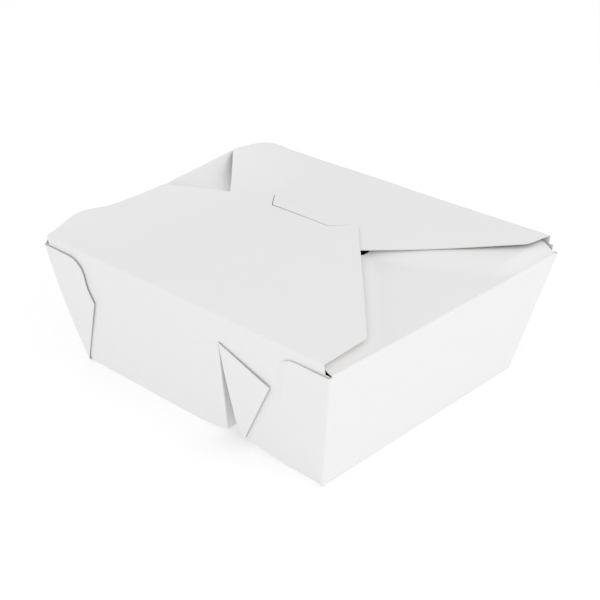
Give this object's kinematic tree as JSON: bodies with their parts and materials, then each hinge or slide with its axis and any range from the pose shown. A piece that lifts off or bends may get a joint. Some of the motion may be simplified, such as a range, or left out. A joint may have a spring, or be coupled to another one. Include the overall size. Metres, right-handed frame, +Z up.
{
  "type": "takeout food box",
  "caption": "Folded white paperboard takeout box with leaning walls, an off-centre folded divider making two compartments, and tuck-closed lid flaps.",
  "frame": {"origin": "middle of the base's underside", "axes": "+X along the box's length towards the small compartment, +Y from the front wall to the back wall, +Z up"},
  "size_m": [0.2, 0.182, 0.0867],
  "materials": {
    "paperboard": "white clay-coated solid bleached board, smooth satin face"
  },
  "bodies": {
    "box": {"tray": "paperboard", "back_flap": "paperboard", "left_end_flap": "paperboard", "right_end_flap": "paperboard"},
    "front_flap": {"front_flap": "paperboard"}
  },
  "joints": [
    {"name": "front_flap_fold", "type": "hinge", "parent": "box", "child": "front_flap", "pos_m": [0, -0.09079, 0.07565], "axis": [1, 0, 0], "range_deg": [0, 180]}
  ]
}
